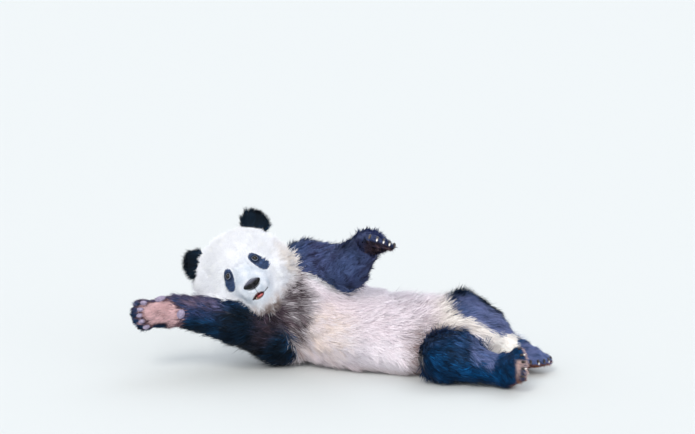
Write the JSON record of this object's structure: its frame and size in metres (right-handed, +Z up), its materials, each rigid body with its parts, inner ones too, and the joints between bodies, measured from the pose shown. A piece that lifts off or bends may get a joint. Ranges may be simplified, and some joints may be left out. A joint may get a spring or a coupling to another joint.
{
  "type": "giant panda",
  "caption": "Life-size giant panda, lying on its right side with a forepaw stretched past its head and the other raised.",
  "frame": {"origin": "on the floor, under the middle of the bounding box", "axes": "+Z up, -X towards the head end and the stretched forepaw, +X towards the hind feet, -Y towards the belly and the face"},
  "size_m": [1.3682, 0.5966, 0.5209],
  "materials": {
    "white_coat": "long soft fur, cream white",
    "black_coat": "long soft fur, black with brown patches",
    "claw_horn": "horn, ivory with darker roots",
    "pad_skin": "bare grained skin",
    "nose_skin": "moist bare skin",
    "eye": "wet, glossy",
    "tongue": "moist"
  },
  "bodies": {
    "root": {"claw_foreleg_left_1": "claw_horn", "claw_foreleg_left_2": "claw_horn", "claw_foreleg_left_3": "claw_horn", "claw_foreleg_left_4": "claw_horn", "claw_foreleg_left_5": "claw_horn", "claw_foreleg_right_1": "claw_horn", "claw_foreleg_right_2": "claw_horn", "claw_foreleg_right_3": "claw_horn", "claw_foreleg_right_4": "claw_horn", "claw_foreleg_right_5": "claw_horn", "claw_hindleg_left_1": "claw_horn", "claw_hindleg_left_2": "claw_horn", "claw_hindleg_left_3": "claw_horn", "claw_hindleg_left_4": "claw_horn", "claw_hindleg_left_5": "claw_horn", "claw_hindleg_right_1": "claw_horn", "claw_hindleg_right_2": "claw_horn", "claw_hindleg_right_3": "claw_horn", "claw_hindleg_right_4": "claw_horn", "claw_hindleg_right_5": "claw_horn", "ear_left": "black_coat", "ear_right": "black_coat", "eye_left": "eye", "eye_right": "eye", "forearm_left": "black_coat", "forearm_right": "black_coat", "forepaw_left": "black_coat", "forepaw_right": "black_coat", "head": "white_coat", "hind_foot_left": "black_coat", "hind_foot_right": "black_coat", "neck": "white_coat", "nose": "nose_skin", "shank_left": "black_coat", "shank_right": "black_coat", "tail": "white_coat", "thigh_left": "black_coat", "thigh_right": "black_coat", "thumb_pad": "pad_skin", "toe_pad_1": "pad_skin", "toe_pad_2": "pad_skin", "toe_pad_3": "pad_skin", "toe_pad_4": "pad_skin", "toe_pad_5": "pad_skin", "tongue": "tongue", "trunk": "white_coat", "upper_arm_left": "black_coat", "upper_arm_right": "black_coat", "wrist_pad": "pad_skin"}
  },
  "joints": []
}
